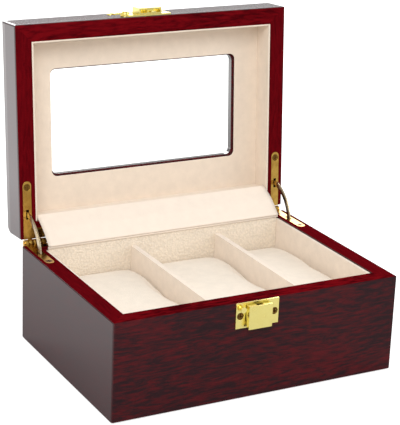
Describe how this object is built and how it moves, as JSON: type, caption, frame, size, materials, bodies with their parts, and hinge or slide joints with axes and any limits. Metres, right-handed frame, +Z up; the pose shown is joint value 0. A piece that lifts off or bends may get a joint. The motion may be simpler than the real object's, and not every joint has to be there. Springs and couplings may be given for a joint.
{
  "type": "watch box",
  "caption": "Mitred wooden watch box with a hinged glazed lid, lined compartments with loose cushions, a folding flap, quadrant stays and a front latch.",
  "frame": {"origin": "centre of the underside of the felt that the box stands on", "axes": "+X to the right seen from the front, +Y from the front to the back, +Z up"},
  "size_m": [0.2, 0.1831, 0.2147],
  "materials": {
    "wood": "high gloss lacquer over figured veneer",
    "lining": "fine matt fabric",
    "suede": "pebbled leatherette",
    "cushion": "soft woven velvet",
    "flap_fabric": "fine matt fabric",
    "felt": "matt felt",
    "window_glass": "clear polished",
    "hinge_metal": "polished brass plate",
    "latch_metal": "bright polished brass plate",
    "screw_metal": "polished brass plate",
    "stay_metal": "worn brass-plated steel",
    "spring_steel": "bright spring strip"
  },
  "bodies": {
    "base": {"base_felt": "felt", "base_bottom": "wood", "base_front_wall": "wood", "base_back_wall": "wood", "base_left_wall": "wood", "base_right_wall": "wood", "base_floor_lining": "lining", "base_lining_front": "lining", "base_lining_back": "suede", "base_lining_left": "lining", "base_lining_right": "lining", "divider_left": "lining", "divider_right": "lining", "hinge_base_leaf_left": "hinge_metal", "hinge_base_leaf_right": "hinge_metal", "hinge_pin_left": "screw_metal", "hinge_pin_right": "screw_metal", "hinge_base_screws": "screw_metal", "latch_base_plate": "latch_metal", "latch_button_pin": "latch_metal", "latch_spring": "spring_steel", "latch_peg": "latch_metal", "latch_base_screws": "screw_metal"},
    "lid": {"lid_front_wall": "wood", "lid_back_wall": "wood", "lid_left_wall": "wood", "lid_right_wall": "wood", "lid_top_panel": "wood", "lid_glass": "window_glass", "lid_window_lining": "suede", "lid_lining_front": "lining", "lid_lining_back": "lining", "lid_lining_left": "lining", "lid_lining_right": "lining", "hinge_lid_leaf_left": "hinge_metal", "hinge_lid_leaf_right": "hinge_metal", "hinge_lid_screws": "screw_metal", "latch_lid_plate": "latch_metal", "latch_catch": "latch_metal", "latch_tongue": "latch_metal", "latch_hook_rivet": "latch_metal", "latch_lid_screws": "screw_metal"},
    "stay_left": {"quadrant_left": "stay_metal"},
    "stay_right": {"quadrant_right": "stay_metal"},
    "flap_lower": {"flap_lower": "flap_fabric"},
    "flap_upper": {"flap_upper": "flap_fabric"},
    "hook": {"latch_hook": "latch_metal"},
    "button": {"latch_button": "latch_metal"},
    "cushion_left": {"cushion_left": "cushion"},
    "cushion_middle": {"cushion_middle": "cushion"},
    "cushion_right": {"cushion_right": "cushion"}
  },
  "joints": [
    {"name": "lid_hinge", "type": "hinge", "parent": "base", "child": "lid", "pos_m": [0, 0.0738, 0.06515], "axis": [1, 0, 0], "range_deg": [0, 94]},
    {"name": "stay_left_turn", "type": "hinge", "parent": "base", "child": "stay_left", "pos_m": [0, 0.0738, 0.06515], "axis": [1, 0, 0], "range_deg": [0, 47]},
    {"name": "stay_right_turn", "type": "hinge", "parent": "base", "child": "stay_right", "pos_m": [0, 0.0738, 0.06515], "axis": [1, 0, 0], "range_deg": [0, 47]},
    {"name": "flap_lower_turn", "type": "hinge", "parent": "base", "child": "flap_lower", "pos_m": [0, 0.0567, 0.0671], "axis": [1, 0, 0], "range_deg": [0, 140.71]},
    {"name": "flap_upper_turn", "type": "hinge", "parent": "flap_lower", "child": "flap_upper", "pos_m": [0, 0.06697, 0.07554], "axis": [1, 0, 0], "range_deg": [-163.09, 0]},
    {"name": "hook_turn", "type": "hinge", "parent": "lid", "child": "hook", "pos_m": [-0.0202, 0.08867, 0.21117], "axis": [0, 0.0698, 0.9976], "range_deg": [0, 122.12]},
    {"name": "button_press", "type": "hinge", "parent": "base", "child": "button", "pos_m": [-0.0035, -0.0736, 0.0595], "axis": [1, 0, 0], "range_deg": [0, 5], "stiffness_Nm_per_rad": 0.05, "springref_deg": -11.46, "deforming": ["latch_spring"]},
    {"name": "cushion_left_lift", "type": "slide", "parent": "base", "child": "cushion_left", "axis": [0, 0, 1], "range_m": [0, 0.012]},
    {"name": "cushion_middle_lift", "type": "slide", "parent": "base", "child": "cushion_middle", "axis": [0, 0, 1], "range_m": [0, 0.012]},
    {"name": "cushion_right_lift", "type": "slide", "parent": "base", "child": "cushion_right", "axis": [0, 0, 1], "range_m": [0, 0.012]}
  ],
  "couplings": [
    {"joint": "stay_left_turn", "follows": "lid_hinge", "ratio": 0.5},
    {"joint": "stay_right_turn", "follows": "lid_hinge", "ratio": 0.5},
    {"joint": "flap_lower_turn", "follows": "lid_hinge", "ratio": 1.4969},
    {"joint": "flap_upper_turn", "follows": "lid_hinge", "ratio": -1.7349}
  ]
}
